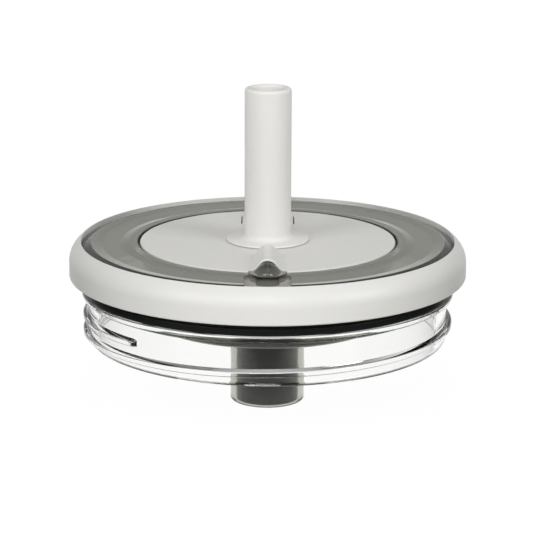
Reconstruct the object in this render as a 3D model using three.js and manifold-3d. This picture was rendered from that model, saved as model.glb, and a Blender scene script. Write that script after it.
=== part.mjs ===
// A twist-dial straw lid for a drinks tumbler, in millimetres, +Z up.
// The origin is the centre of the straw port's foot, so the lid stands on z = 0.
// A smoke-tinted body carries everything: a deck, a well that the dial turns in, and the straw port below.
// A clear threaded collar and a white rim ring close round it, with the rim gasket between them.
import * as THREE from "three";
import { mergeVertices } from "three/addons/utils/BufferGeometryUtils.js";
import Module from "manifold-3d";

// Clearances
const seatGap = 0.15; // between pieces that are pressed or welded together
const runGap = 0.6; // round the turning disc
const coreGap = 0.2; // round the dial core in its well
const slideGap = 0.3; // between flat faces that slide
const lipGap = 0.15; // under the lip that sweeps over the deck

// Smoke body: straw port, well and deck
const portLength = 21.8;
const portRadius = 9.4;
const portWall = 1.45;
const footChamfer = 0.4;
const floorThickness = 1.6;
const wellDepth = 18.2;
const wellRadius = 30;
const wellWall = 1.6;
const wellFillet = 2.8;
const deckThickness = 2;
const deckSkirtWall = 1.1;
const deckBevelWidth = 2.3;
const deckBevelDrop = 0.8;
const deckReveal = 0.3; // the dark line between the deck and the rim ring
const ledgeThickness = 1.6; // of the ledge under the disc's edge
const snapBeadDepth = 0.5;
const snapBeadHeight = 0.8;
const snapBeadBelowDeck = 5.6;
const channelFromSeat = 2.2; // the shallow channel that the lip of the dome sweeps over
const channelDepth = 0.3;
const channelInnerSlope = 2;
const channelOuterSlope = 2.6;
const pocketWidth = 11.2;
const pocketBeyondDisc = 2.25;
const pocketFromEdge = 1.1; // of the deck
const pocketDepth = 0.6;
const pocketCorner = 1.6;
const thumbWellWidth = 5.6;
const thumbWellShort = 2.6; // of the pocket's outer end
const thumbWellDepth = 0.4; // below the pocket

// White rim ring
const rimRadius = 50; // the deck, the gasket and the collar all follow it
const rimWidth = 3.3; // from the outside to the deck
const rimHeight = 8.85;
const rimProud = 0.35; // its inner lip stands this far above the deck
const rimStraight = 3.9; // upright band at its foot
const rimCrown = 2.8; // how far the crown leans in from the outside to the lip
const rimLipAngle = 45; // of the crown's quarter ellipse, where it ends at the lip
const rimEdge = 0.4;
const rimWeb = 2; // the shelf at its foot that the deck's skirt rests on
const rimRebate = 0.5; // the step under the shelf that the gasket sits up in

// Clear threaded collar
const collarInset = 4.75; // its outside, from the outside of the rim ring
const collarWall = 2;
const collarFlangeThickness = 1.5;
const collarSkirt = 11.15; // below the flange
const collarEdge = 0.45;
const threadPitch = 4;
const threadDepth = 1.45;
const threadRootWidth = 2.6;
const threadCrestWidth = 1.1;
const threadStartAngle = -285; // degrees from +X, at the lower end
const threadEndAngle = 226;
const threadFade = 30; // degrees over which its lower end rises
const threadFrontAboveFoot = 3.4; // height of the ridge over the skirt's foot at -90 degrees
const threadBite = 0.4; // the ridge's root inside the wall

// Black rim gasket
const gasketHeight = 3.75;
const gasketInset = 3.1; // its lip, from the outside of the rim ring
const gasketNeck = 0.55;
const gasketLipHeight = 1.9;
const gasketRound = 0.35;

// White dial disc, with the hump that a thumb turns it by
const discRadius = 32.15;
const discThickness = 1.6;
const discEdge = 0.4;
const humpHalfWidth = 4.2;
const humpHeight = 3.15;
const humpInner = 15.4;
const humpRun = 2.4; // length of the slope at its inner end
const humpWall = 0.45;

// Vent plug let into the disc behind the spout
const ventWidth = 13.2;
const ventFromEdge = 5.75; // of the disc
const ventLength = 10.1;
const ventCorner = 1.5;
const ventProud = 0.2;

// Smoke dial core under the disc, with the thumb dome, its lip and the valve hub
const corePlate = 1.9;
const coreSkirtDepth = 12.6;
const coreSkirtWall = 2.7;
const domeReach = 4.9; // beyond the disc's edge
const domeBase = 0.3; // the dome starts this far above the lip's foot
const lipReach = 5.6;
const lipHalfWidth = 4.7;
const lipThickness = 0.35;
const hubWall = 1.8;
const hubEndPlate = 2;
const hubShoulder = 0.9;
const socketDepth = 3.6;

// Valve: one hole in the well's floor and one in the hub, a quarter turn apart when shut
const valveOffset = 3.9;
const valveHole = 2.6;
const valveSealRadius = 8.2;
const valveSealThickness = 1.2;

// White drinking spout
const spoutRadius = 5.85;
const spoutBore = 3.6;
const spoutHeight = 38.9; // above the disc
const spoutMouthFlare = 0.5;
const spoutLipRound = 1.9;
const flangeRadius = 10.35;
const flangeEdge = 0.5;
const flangeFillet = 1.8;

// Seals inside
const dialSealRadius = 0.85; // cord radius of the ring round the core
const dialSealAboveFoot = 2.6;
const spoutSealThickness = 0.9;
const spoutSealBore = 4;

// Straw sleeve inside the port
const sleeveBore = 4.4;
const sleeveFunnelRadius = 6.5;
const sleeveFunnelDepth = 2.4;
const sleeveInset = 0.3; // above the port's foot

// Facets round a full turn
const wideFacets = 48;
const smallFacets = 32;

// Levels that follow from the sizes above
const floorTop = portLength + floorThickness;
const deckTop = floorTop + wellDepth;
const deckUnder = deckTop - deckThickness;
const rimTop = deckTop + rimProud;
const rimFoot = rimTop - rimHeight;
const shelfFoot = rimFoot + rimRebate;
const webTop = rimFoot + rimWeb;
const gasketTop = shelfFoot - seatGap;
const gasketFoot = gasketTop - gasketHeight;
const flangeTop = gasketFoot - seatGap;
const flangeFoot = flangeTop - collarFlangeThickness;
const skirtFoot = flangeFoot - collarSkirt;
const discFoot = deckTop - discThickness;
const coreTop = discFoot - seatGap;
const sweepLevel = deckTop + lipGap;
const seatLevel = discFoot - slideGap;
const ledgeUnder = seatLevel - ledgeThickness;

// Radii that follow
const deckRadius = rimRadius - rimWidth;
const collarRadius = rimRadius - collarInset;
const gasketLip = rimRadius - gasketInset;
const pocketInner = discRadius + pocketBeyondDisc;
const pocketOuter = deckRadius - pocketFromEdge;
const ventInner = discRadius - ventFromEdge - ventLength;
const seatRadius = discRadius + runGap;
const seatOuter = seatRadius + wellWall;
const wellOuter = wellRadius + wellWall;
const portBore = portRadius - portWall;
const rimInner = deckRadius + deckReveal;
const webInner = collarRadius + seatGap;
const skirtInner = deckRadius - deckSkirtWall;
const socketRadius = spoutRadius + seatGap;
const chamberRadius = valveOffset + valveHole + 0.1;
const hubRadius = chamberRadius + hubWall;
const coreRadius = wellRadius - coreGap;

const wasm = await Module();
wasm.setup();

// A closed three.js geometry as a solid that can be joined and cut.
function solid(geometry) {
  const bare = geometry.index ? geometry.toNonIndexed() : geometry.clone();
  bare.deleteAttribute("normal");
  bare.deleteAttribute("uv");
  const merged = mergeVertices(bare, 1e-4);
  return new wasm.Manifold(
    new wasm.Mesh({
      numProp: 3,
      vertProperties: merged.attributes.position.array,
      triVerts: new Uint32Array(merged.index.array),
    }),
  );
}

// The solid as a three.js geometry with flat faces.
function geometryOf(body) {
  const mesh = body.getMesh();
  const indexed = new THREE.BufferGeometry();
  indexed.setAttribute("position", new THREE.BufferAttribute(mesh.vertProperties, 3));
  indexed.setIndex(new THREE.BufferAttribute(mesh.triVerts, 1));
  const flat = indexed.toNonIndexed();
  flat.computeVertexNormals();
  return flat;
}

// A profile of [radius, level] points, bottom to top on the outside, turned round +Z.
// It starts and ends on the axis, or is closed here.
function turned(profile, facets = wideFacets) {
  const points = profile.map(([radius, level]) => new THREE.Vector2(radius, level));
  const first = points[0];
  const last = points[points.length - 1];
  if (first.x > 0 || last.x > 0) points.push(first.clone());
  return solid(new THREE.LatheGeometry(points, facets).rotateX(Math.PI / 2));
}

// Points of an arc or a quarter ellipse in a profile, angles in degrees from the radial direction.
function arc(radius, level, across, up, from, to, steps) {
  return Array.from({ length: steps + 1 }, (_, i) => {
    const angle = THREE.MathUtils.degToRad(from + ((to - from) * i) / steps);
    return [radius + across * Math.cos(angle), level + up * Math.sin(angle)];
  });
}

// A plan outline pushed up from one level to another.
function raised(shape, foot, top, curveSteps = 6) {
  const options = { depth: top - foot, bevelEnabled: false, curveSegments: curveSteps };
  return solid(new THREE.ExtrudeGeometry(shape, options).translate(0, 0, foot));
}

// A rounded rectangle centred on x = 0, between two values of y.
function roundedPlan(width, yLow, yHigh, corner) {
  const half = width / 2;
  const shape = new THREE.Shape();
  shape.moveTo(-half + corner, yLow);
  shape.lineTo(half - corner, yLow);
  shape.absarc(half - corner, yLow + corner, corner, -Math.PI / 2, 0);
  shape.lineTo(half, yHigh - corner);
  shape.absarc(half - corner, yHigh - corner, corner, 0, Math.PI / 2);
  shape.lineTo(-half + corner, yHigh);
  shape.absarc(-half + corner, yHigh - corner, corner, Math.PI / 2, Math.PI);
  shape.lineTo(-half, yLow + corner);
  shape.absarc(-half + corner, yLow + corner, corner, Math.PI, 1.5 * Math.PI);
  return shape;
}

function cylinder(radius, foot, top, x = 0, y = 0, facets = wideFacets) {
  const shape = new THREE.CylinderGeometry(radius, radius, top - foot, facets).rotateX(Math.PI / 2);
  return solid(shape.translate(x, y, (foot + top) / 2));
}

function box(xLow, xHigh, yLow, yHigh, zLow, zHigh) {
  const shape = new THREE.BoxGeometry(xHigh - xLow, yHigh - yLow, zHigh - zLow);
  return solid(shape.translate((xLow + xHigh) / 2, (yLow + yHigh) / 2, (zLow + zHigh) / 2));
}

// The bell-shaped cross-section of the hump, run along y. Its sides start below the disc's top.
function bellRun(halfWidth, height, root, yLow, yHigh) {
  const shape = new THREE.Shape();
  shape.moveTo(halfWidth, 0);
  shape.bezierCurveTo(0.69 * halfWidth, 0, 0.62 * halfWidth, height, 0, height);
  shape.bezierCurveTo(-0.62 * halfWidth, height, -0.69 * halfWidth, 0, -halfWidth, 0);
  shape.lineTo(-halfWidth, -root);
  shape.lineTo(halfWidth, -root);
  const options = { depth: yHigh - yLow, bevelEnabled: false, curveSegments: 6 };
  const run = new THREE.ExtrudeGeometry(shape, options).rotateX(Math.PI / 2);
  return solid(run.translate(0, yHigh, deckTop));
}

// Keeps what lies outside a slope that rises from the disc at the hump's inner end.
function slopeCut(inner, height, reach) {
  const shape = new THREE.Shape();
  shape.moveTo(-inner, -discThickness - reach);
  shape.lineTo(-inner, 0);
  shape.quadraticCurveTo(-inner - 0.35 * humpRun, 0, -inner - 0.55 * humpRun, 0.55 * height);
  shape.quadraticCurveTo(-inner - 0.75 * humpRun, height, -inner - 1.2 * humpRun, height + reach);
  shape.lineTo(-2 * discRadius, height + reach);
  shape.lineTo(-2 * discRadius, -discThickness - reach);
  const options = { depth: 4 * humpHalfWidth, bevelEnabled: false, curveSegments: 4 };
  const run = new THREE.ExtrudeGeometry(shape, options);
  run.rotateX(Math.PI / 2).rotateZ(Math.PI / 2);
  return solid(run.translate(-2 * humpHalfWidth, 0, deckTop));
}

function smokeBody() {
  const bevelStart = deckRadius - deckBevelWidth;
  const bevelFoot = deckTop - deckBevelDrop;
  const channelInner = seatRadius + channelFromSeat;
  const channelFloor = deckTop - channelDepth;
  const beadTop = deckTop - snapBeadBelowDeck;
  const beadFoot = beadTop - snapBeadHeight;
  const beadInner = wellRadius - snapBeadDepth;
  let body = turned([
    [0, portLength],
    [portBore, portLength],
    [portBore, 0],
    [portRadius - footChamfer, 0],
    [portRadius, footChamfer],
    [portRadius, portLength],
    ...arc(wellOuter - wellFillet, portLength + wellFillet, wellFillet, wellFillet, -90, 0, 4),
    [wellOuter, ledgeUnder],
    [seatOuter, ledgeUnder],
    [seatOuter, deckUnder],
    [skirtInner, deckUnder],
    [skirtInner, webTop + seatGap],
    [deckRadius, webTop + seatGap],
    [deckRadius, bevelFoot - 0.3],
    [deckRadius - 0.3, bevelFoot],
    [bevelStart, deckTop],
    [bevelStart - channelOuterSlope, channelFloor],
    [channelInner + channelInnerSlope, channelFloor],
    [channelInner, deckTop],
    [seatRadius + 0.3, deckTop],
    [seatRadius, deckTop - 0.3],
    [seatRadius, seatLevel],
    [wellRadius, seatLevel],
    [wellRadius, beadTop + snapBeadDepth],
    [beadInner, beadTop],
    [beadInner, beadFoot],
    [wellRadius, beadFoot - snapBeadDepth],
    [wellRadius, floorTop],
    [0, floorTop],
  ]);
  const pocket = roundedPlan(pocketWidth, -pocketOuter, -pocketInner, pocketCorner);
  const thumbWellOuter = pocketOuter - thumbWellShort;
  const thumbWell = roundedPlan(thumbWellWidth, -thumbWellOuter, -pocketInner, pocketCorner);
  const pocketFloor = deckTop - pocketDepth;
  body = body.subtract(raised(pocket, pocketFloor, rimTop));
  body = body.subtract(raised(thumbWell, pocketFloor - thumbWellDepth, rimTop));
  const valve = cylinder(valveHole, portLength - 1, floorTop + 1, valveOffset, 0, smallFacets);
  return body.subtract(valve);
}

function rimRing() {
  const crownFoot = rimFoot + rimStraight;
  const crownRise = rimTop - crownFoot;
  // The quarter ellipse is as wide and as high as it takes to reach the lip at its angle.
  const lipTurn = THREE.MathUtils.degToRad(rimLipAngle);
  const crownAcross = rimCrown / (1 - Math.cos(lipTurn));
  const crownUp = crownRise / Math.sin(lipTurn);
  return turned([
    [webInner, shelfFoot],
    [gasketLip + seatGap, shelfFoot],
    [gasketLip + seatGap, rimFoot],
    [rimRadius - rimEdge, rimFoot],
    [rimRadius, rimFoot + rimEdge],
    ...arc(rimRadius - crownAcross, crownFoot, crownAcross, crownUp, 0, rimLipAngle, 6),
    [rimInner, rimTop - rimEdge],
    [rimInner, webTop],
    [webInner, webTop],
  ]);
}

// A trapezium ridge that climbs round the collar. It rises out of the wall below and ends bluntly above.
function threadRidge() {
  const perDegree = threadPitch / 360;
  const sweep = threadEndAngle - threadStartAngle;
  const steps = Math.round((sweep / 360) * wideFacets);
  const root = collarRadius - threadBite;
  const crest = collarRadius + threadDepth;
  const section = [
    [root, -threadRootWidth / 2],
    [crest, -threadCrestWidth / 2],
    [crest, threadCrestWidth / 2],
    [root, threadRootWidth / 2],
  ];
  const corners = section.length;
  const places = [];
  const faces = [];
  for (let i = 0; i <= steps; i += 1) {
    const degrees = threadStartAngle + (sweep * i) / steps;
    const level = skirtFoot + threadFrontAboveFoot + (degrees + 90) * perDegree;
    const angle = THREE.MathUtils.degToRad(degrees);
    const share = Math.min(1, 0.2 + (degrees - threadStartAngle) / threadFade);
    for (const [full, rise] of section) {
      const radius = root + (full - root) * share;
      places.push(radius * Math.cos(angle), radius * Math.sin(angle), level + rise);
    }
  }
  for (let i = 0; i < steps; i += 1) {
    for (let k = 0; k < corners; k += 1) {
      const a = i * corners + k;
      const b = i * corners + ((k + 1) % corners);
      faces.push(a, a + corners, b, b, a + corners, b + corners);
    }
  }
  const end = steps * corners;
  faces.push(0, 1, 2, 0, 2, 3, end, end + 2, end + 1, end, end + 3, end + 2);
  const geometry = new THREE.BufferGeometry();
  geometry.setAttribute("position", new THREE.Float32BufferAttribute(places, 3));
  geometry.setIndex(faces);
  return solid(geometry);
}

function threadedCollar() {
  const inner = collarRadius - collarWall;
  const sleeve = turned([
    [inner + collarEdge, skirtFoot],
    [collarRadius - collarEdge, skirtFoot],
    [collarRadius, skirtFoot + collarEdge],
    [collarRadius, flangeFoot - collarEdge],
    [collarRadius + collarEdge, flangeFoot],
    [gasketLip - collarEdge, flangeFoot],
    [gasketLip, flangeFoot + collarEdge],
    [gasketLip, flangeTop],
    [collarRadius, flangeTop],
    [collarRadius, deckUnder - seatGap],
    [inner, deckUnder - seatGap],
    [inner, skirtFoot + collarEdge],
  ]);
  return sleeve.add(threadRidge());
}

function rimGasket() {
  const lipTop = gasketFoot + gasketLipHeight;
  return turned([
    [webInner, gasketFoot],
    [gasketLip - gasketRound, gasketFoot],
    [gasketLip, gasketFoot + gasketRound],
    [gasketLip, lipTop - gasketRound],
    [gasketLip - gasketNeck, lipTop],
    [gasketLip - gasketNeck, gasketTop],
    [webInner, gasketTop],
  ]);
}

function dialDisc() {
  const disc = turned([
    [0, discFoot],
    [discRadius, discFoot],
    ...arc(discRadius - discEdge, deckTop - discEdge, discEdge, discEdge, 0, 90, 3),
    [0, deckTop],
  ]);
  const reach = discRadius + 2;
  const bell = bellRun(humpHalfWidth, humpHeight, discThickness / 2, -reach, 0);
  const edge = cylinder(discRadius, discFoot, deckTop + 2 * humpHeight);
  const hump = bell.intersect(slopeCut(humpInner, humpHeight, 1)).intersect(edge);
  const tunnelWidth = humpHalfWidth - humpWall;
  const tunnelHeight = humpHeight - humpWall;
  const tunnelRun = bellRun(tunnelWidth, tunnelHeight, discThickness + 1, -reach, 0);
  const tunnel = tunnelRun.intersect(slopeCut(humpInner + humpWall, tunnelHeight, 1));
  const ventHole = roundedPlan(
    ventWidth + 2 * slideGap,
    ventInner - slideGap,
    ventInner + ventLength + slideGap,
    ventCorner,
  );
  const stemHole = cylinder(spoutRadius + seatGap, discFoot - 1, deckTop + 1, 0, 0, smallFacets);
  return disc
    .add(hump)
    .subtract(tunnel)
    .subtract(raised(ventHole, discFoot - 1, deckTop + 1))
    .subtract(stemHole);
}

function ventPlug() {
  const plan = roundedPlan(ventWidth, ventInner, ventInner + ventLength, ventCorner);
  return raised(plan, coreTop + seatGap, deckTop + ventProud);
}

function dialCore() {
  const skirtFootLevel = coreTop - coreSkirtDepth;
  const skirtInside = coreRadius - coreSkirtWall;
  const plateFoot = coreTop - corePlate;
  const sealLevel = skirtFootLevel + dialSealAboveFoot;
  const grooveHalf = dialSealRadius + seatGap;
  const grooveRadius = wellRadius - 2 * grooveHalf;
  const beadFoot = deckTop - snapBeadBelowDeck - snapBeadHeight;
  const waistTop = deckTop - snapBeadBelowDeck + 2 * snapBeadDepth;
  const waistFoot = beadFoot - 2 * snapBeadDepth;
  const waist = wellRadius - 2 * snapBeadDepth - slideGap;
  const hubFoot = floorTop + seatGap + valveSealThickness + seatGap;
  const chamberFoot = hubFoot + hubEndPlate;
  const socketFoot = coreTop - socketDepth;
  const chamberTop = socketFoot - hubShoulder;
  const core = turned([
    [0, hubFoot],
    [hubRadius, hubFoot],
    [hubRadius, plateFoot],
    [skirtInside, plateFoot],
    [skirtInside, skirtFootLevel],
    [coreRadius, skirtFootLevel],
    [coreRadius, sealLevel - grooveHalf],
    [grooveRadius, sealLevel - grooveHalf],
    [grooveRadius, sealLevel + grooveHalf],
    [coreRadius, sealLevel + grooveHalf],
    [coreRadius, waistFoot],
    [waist, waistFoot],
    [waist, waistTop],
    [coreRadius, waistTop],
    [coreRadius, coreTop],
    [socketRadius, coreTop],
    [socketRadius, socketFoot],
    [spoutSealBore, socketFoot],
    [spoutSealBore, chamberTop],
    [chamberRadius, chamberTop],
    [chamberRadius, chamberFoot],
    [0, chamberFoot],
  ]);
  const ribWidth = humpHalfWidth - humpWall - seatGap;
  const ribHeight = humpHeight - humpWall - seatGap;
  const ribInner = humpInner + humpWall + 2 * slideGap;
  const ribRun = bellRun(ribWidth, ribHeight, discThickness + 1, -discRadius - 0.2, 0);
  const overLedge = cylinder(discRadius, discFoot, sweepLevel + humpHeight);
  const inWell = cylinder(coreRadius - 0.1, coreTop - 1, discFoot + 1).add(overLedge);
  const rib = ribRun.intersect(slopeCut(ribInner, ribHeight, 1)).intersect(inWell);
  // The dome carries the rib's end on over the deck as a quarter of an ellipsoid, with a thin lip round it.
  const domeFoot = sweepLevel + domeBase;
  const domeStart = -discRadius + 0.8;
  const ball = new THREE.SphereGeometry(1, 20, 10).rotateX(Math.PI / 2);
  ball.scale(ribWidth - 0.25, domeReach + 0.8, deckTop + ribHeight - domeFoot);
  const dome = solid(ball.translate(0, domeStart, domeFoot));
  const lipShape = new THREE.Shape();
  lipShape.absellipse(0, domeStart, lipHalfWidth, lipReach + 0.8, Math.PI, 2 * Math.PI);
  lipShape.closePath();
  const lip = raised(lipShape, sweepLevel, sweepLevel + lipThickness, 24);
  const wide = 2 * lipHalfWidth;
  const far = 2 * discRadius;
  const high = 2 * deckTop;
  const beyond = box(-wide, wide, -far, domeStart, sweepLevel, high);
  const lipInArch = box(-ribWidth, ribWidth, -discRadius, domeStart + 1, sweepLevel, high);
  const outside = box(-wide, wide, -far, -discRadius - 0.3, 0, high);
  const cap = dome.intersect(beyond).intersect(outside.add(lipInArch.intersect(ribRun)));
  const lipOut = lip.intersect(outside);
  const neck = bellRun(ribWidth, ribHeight, 0, -discRadius - 0.5, -discRadius + 1);
  const neckAbove = neck.intersect(box(-ribWidth, ribWidth, -far, 0, sweepLevel, high));
  const port = cylinder(valveHole, hubFoot - 1, chamberFoot + 1, 0, -valveOffset, smallFacets);
  return core.add(rib).add(cap).add(neckAbove).add(lipOut).subtract(port);
}

function spout() {
  const flangeFootLevel = deckTop + seatGap;
  const flangeShoulder = flangeFootLevel + flangeEdge;
  const filletCentre = spoutRadius + flangeFillet;
  const top = deckTop + spoutHeight;
  const stemFoot = coreTop - socketDepth + seatGap + spoutSealThickness + seatGap;
  const mouth = spoutBore + spoutMouthFlare;
  const lipAcross = (spoutRadius - mouth) / 2;
  return turned(
    [
      [spoutBore, stemFoot],
      [spoutRadius, stemFoot],
      [spoutRadius, flangeFootLevel],
      [flangeRadius - 0.2, flangeFootLevel],
      [flangeRadius, flangeFootLevel + 0.2],
      [flangeRadius, flangeShoulder - 0.15],
      [flangeRadius - 0.3, flangeShoulder],
      ...arc(filletCentre, flangeShoulder + flangeFillet + 0.3, flangeFillet, flangeFillet, 270, 180, 3),
      ...arc(spoutRadius - lipAcross, top - spoutLipRound, lipAcross, spoutLipRound, 0, 180, 6),
      [spoutBore, top - 2 * spoutLipRound - spoutMouthFlare],
    ],
    smallFacets,
  );
}

function dialSeal() {
  const level = coreTop - coreSkirtDepth + dialSealAboveFoot;
  const centre = wellRadius - seatGap - dialSealRadius;
  return turned(arc(centre, level, dialSealRadius, dialSealRadius, -90, 210, 5));
}

function spoutSeal() {
  const foot = coreTop - socketDepth + seatGap;
  return turned(
    [
      [spoutSealBore, foot],
      [spoutRadius, foot],
      [spoutRadius, foot + spoutSealThickness],
      [spoutSealBore, foot + spoutSealThickness],
    ],
    smallFacets,
  );
}

function valveSeal() {
  const foot = floorTop + seatGap;
  const disc = cylinder(valveSealRadius, foot, foot + valveSealThickness, 0, 0, smallFacets);
  const holeTop = foot + 2 * valveSealThickness;
  return disc.subtract(cylinder(valveHole, floorTop, holeTop, valveOffset, 0, smallFacets));
}

function strawSleeve() {
  const top = portLength - seatGap;
  const sleeveRadius = portBore - seatGap;
  const funnelFoot = top - sleeveFunnelDepth;
  return turned(
    [
      [sleeveBore, sleeveInset],
      [sleeveRadius, sleeveInset],
      [sleeveRadius, top],
      [sleeveFunnelRadius, top],
      [sleeveBore, funnelFoot],
    ],
    smallFacets,
  );
}

// Finishes
const whiteSoft = { color: 0xd6d5d1, roughness: 0.45, metalness: 0 };
const whiteSpout = { color: 0xdedcd8, roughness: 0.5, metalness: 0 };
const smoke = { color: 0x85867e, roughness: 0.06, metalness: 0, transparent: true, opacity: 0.6 };
const clear = { color: 0xf4f5f3, roughness: 0.04, metalness: 0, transparent: true, opacity: 0.3 };
const blackRubber = { color: 0x1c201d, roughness: 0.4, metalness: 0 };
const greyRubber = { color: 0x3b3e3b, roughness: 0.35, metalness: 0 };

const lid = new THREE.Group();
for (const [name, body, finish] of [
  ["smoke_body", smokeBody(), smoke],
  ["rim_ring", rimRing(), whiteSoft],
  ["threaded_collar", threadedCollar(), clear],
  ["rim_gasket", rimGasket(), blackRubber],
  ["straw_sleeve", strawSleeve(), greyRubber],
  ["valve_seal", valveSeal(), greyRubber],
  ["dial_disc", dialDisc(), whiteSoft],
  ["dial_core", dialCore(), smoke],
  ["dial_seal", dialSeal(), greyRubber],
  ["vent_plug", ventPlug(), whiteSoft],
  ["spout", spout(), whiteSpout],
  ["spout_seal", spoutSeal(), greyRubber],
]) {
  const mesh = new THREE.Mesh(geometryOf(body), new THREE.MeshStandardMaterial(finish));
  mesh.name = name;
  lid.add(mesh);
}

export default lid;
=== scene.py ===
import math

import bmesh
import bpy
from mathutils import Matrix, Vector


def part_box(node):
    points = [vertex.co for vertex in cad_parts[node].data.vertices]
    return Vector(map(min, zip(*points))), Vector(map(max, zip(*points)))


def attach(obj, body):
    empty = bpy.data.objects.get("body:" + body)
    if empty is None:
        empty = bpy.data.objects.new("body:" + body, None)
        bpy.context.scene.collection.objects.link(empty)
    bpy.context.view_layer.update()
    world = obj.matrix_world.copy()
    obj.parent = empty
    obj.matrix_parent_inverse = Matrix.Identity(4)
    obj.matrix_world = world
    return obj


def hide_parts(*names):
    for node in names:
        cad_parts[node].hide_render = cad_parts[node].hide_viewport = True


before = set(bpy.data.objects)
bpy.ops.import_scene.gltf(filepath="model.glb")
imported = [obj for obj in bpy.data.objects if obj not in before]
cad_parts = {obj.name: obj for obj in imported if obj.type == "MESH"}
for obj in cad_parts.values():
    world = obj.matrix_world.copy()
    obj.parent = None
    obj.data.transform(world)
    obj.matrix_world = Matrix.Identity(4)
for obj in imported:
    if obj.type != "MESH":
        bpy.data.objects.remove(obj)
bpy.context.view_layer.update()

# Smoke body
# The lid's backbone, moulded in one shot from smoke-tinted clear plastic and polished: the deck that
# shows round the disc, the well that the dial turns in, and the straw port that hangs below.
mm = 0.001
full_turn = 2 * math.pi
body_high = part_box("smoke_body")[1]
deck_radius = body_high.x
deck_top = body_high.z
deck_under = deck_top - 2 * mm
deck_skirt_inside = deck_radius - 1.1 * mm
deck_skirt_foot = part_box("rim_ring")[0].z + 2.15 * mm
deck_crest = deck_radius - 2.3 * mm
deck_drop = 0.8 * mm
disc_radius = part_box("dial_disc")[1].x
seat_radius = disc_radius + 0.6 * mm
seat_level = deck_top - 1.9 * mm
channel_floor = deck_top - 0.3 * mm
channel_inside = seat_radius + 2.2 * mm
channel_inner_slope = 2 * mm
channel_outer_slope = 2.6 * mm
ledge_under = seat_level - 1.6 * mm
well_radius = 30 * mm
well_wall = 1.6 * mm
well_floor = 23.4 * mm
port_top = 21.8 * mm
port_radius = 9.4 * mm
port_bore = port_radius - 1.45 * mm
valve_offset = 3.9 * mm
valve_hole = 2.6 * mm
tab_size = (11.2 * mm, 11.2 * mm, 0.6 * mm)
tab_middle = -40 * mm
thumb_well_size = (5.6 * mm, 8.6 * mm, 1 * mm)
thumb_well_middle = -38.7 * mm
pocket_corner = 1.6 * mm


def rounded(corners, steps=6):
    """An outline of (radius, level) points. A corner with a third value, its rounding, becomes an arc."""
    points = []
    for i, corner in enumerate(corners):
        here = Vector(corner[:2])
        rounding = corner[2] if len(corner) > 2 else 0
        if not rounding:
            points.append(here)
            continue
        back = (Vector(corners[i - 1][:2]) - here).normalized()
        ahead = (Vector(corners[(i + 1) % len(corners)][:2]) - here).normalized()
        half = back.angle(ahead) / 2
        centre = here + (back + ahead).normalized() * rounding / math.sin(half)
        first = here + back * rounding / math.tan(half) - centre
        sweep = first.angle_signed(here + ahead * rounding / math.tan(half) - centre)
        for step in range(steps + 1):
            points.append(centre + Matrix.Rotation(-sweep * step / steps, 2) @ first)
    return points


def mesh_piece(name, points, faces):
    mesh = bpy.data.meshes.new(name)
    mesh.from_pydata(points, [], faces)
    piece = bpy.data.objects.new(name, mesh)
    bpy.context.scene.collection.objects.link(piece)
    return piece


def spun(name, outline, facets=192):
    """Turns a closed outline of (radius, level) points round the lid's axis."""
    places = []
    for turn in range(facets):
        angle = full_turn * turn / facets
        places += [(r * math.cos(angle), r * math.sin(angle), z) for r, z in outline]
    return ringed(name, places, len(outline))


def ringed(name, places, row):
    """Joins closed rows of points, one after another, all the way round to the first."""
    rows = len(places) // row
    faces = []
    for turn in range(rows):
        here = turn * row
        there = (turn + 1) % rows * row
        for i in range(row):
            j = (i + 1) % row
            faces.append((here + i, there + i, there + j, here + j))
    return tidied(mesh_piece(name, places, faces))


def tidied(piece):
    """Merges doubled points, drops what collapsed and turns every face outwards."""
    shape = bmesh.new()
    shape.from_mesh(piece.data)
    bmesh.ops.remove_doubles(shape, verts=shape.verts, dist=0.002 * mm)
    bmesh.ops.dissolve_degenerate(shape, edges=shape.edges, dist=0.001 * mm)
    bmesh.ops.recalc_face_normals(shape, faces=shape.faces)
    shape.to_mesh(piece.data)
    shape.free()
    return piece


def settled(piece):
    """Replaces a piece's mesh by what its modifiers make of it."""
    evaluated = piece.evaluated_get(bpy.context.evaluated_depsgraph_get())
    made = bpy.data.meshes.new_from_object(evaluated)
    piece.modifiers.clear()
    piece.data = made
    return piece


def joined(piece, other, operation):
    """Joins a piece to another or cuts it with it. The other is then gone."""
    boolean = piece.modifiers.new(operation, "BOOLEAN")
    boolean.operation = operation
    boolean.solver = "EXACT"
    boolean.object = other
    settled(piece)
    bpy.data.objects.remove(other)
    return piece


def prism(name, plan, low, high):
    """A plan of (x, y) points, drawn up from one level to another."""
    count = len(plan)
    places = [(x, y, low) for x, y in plan] + [(x, y, high) for x, y in plan]
    faces = [tuple(range(count))[::-1], tuple(range(count, 2 * count))]
    faces += [(i, (i + 1) % count, count + (i + 1) % count, count + i) for i in range(count)]
    return mesh_piece(name, places, faces)


def slab(name, size, middle, top, corner, steps=8):
    """A plate of a width, a length and a depth, rounded in plan, with its middle at a place along Y."""
    half_width = size[0] / 2 - corner
    half_length = size[1] / 2 - corner
    plan = []
    for quarter, (x, y) in enumerate([(1, 1), (-1, 1), (-1, -1), (1, -1)]):
        for step in range(steps + 1):
            angle = full_turn / 4 * (quarter + step / steps)
            across = x * half_width + corner * math.cos(angle)
            along = middle + y * half_length + corner * math.sin(angle)
            plan.append((across, along))
    return prism(name, plan, top - size[2], top)


def rod(name, radius, low, high, x=0, y=0, facets=64):
    angles = [full_turn * i / facets for i in range(facets)]
    plan = [(x + radius * math.cos(a), y + radius * math.sin(a)) for a in angles]
    return prism(name, plan, low, high)


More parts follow.
